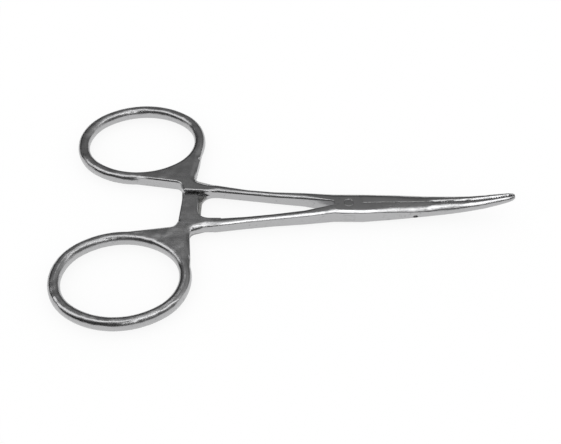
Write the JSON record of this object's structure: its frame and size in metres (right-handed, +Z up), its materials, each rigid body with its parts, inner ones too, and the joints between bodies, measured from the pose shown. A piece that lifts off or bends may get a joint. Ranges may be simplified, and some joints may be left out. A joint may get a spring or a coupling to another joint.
{
  "type": "hemostat forceps",
  "caption": "Small curved hemostat forceps with oval finger rings, ratchet bars, a box joint on a flush pin and cross-serrated jaws; it opens on its hinge.",
  "frame": {"origin": "on the hinge axis, at the flat underside of the box joint", "axes": "+X towards the jaw tips, +Y towards the finger ring of the box arm, +Z up along the hinge axis, the way the jaws curve"},
  "size_m": [0.0899, 0.0604, 0.0057],
  "materials": {
    "arm_steel": "polished, finely brushed stainless steel",
    "pin_steel": "polished flush with the joint"
  },
  "bodies": {
    "box_arm": {"box_arm": "arm_steel", "hinge_pin": "pin_steel"},
    "tongue_arm": {"tongue_arm": "arm_steel"}
  },
  "joints": [
    {"name": "box_hinge", "type": "hinge", "parent": "box_arm", "child": "tongue_arm", "pos_m": [0, 0, 0.0017], "axis": [0, 0, 1], "range_deg": [0, 45]}
  ]
}
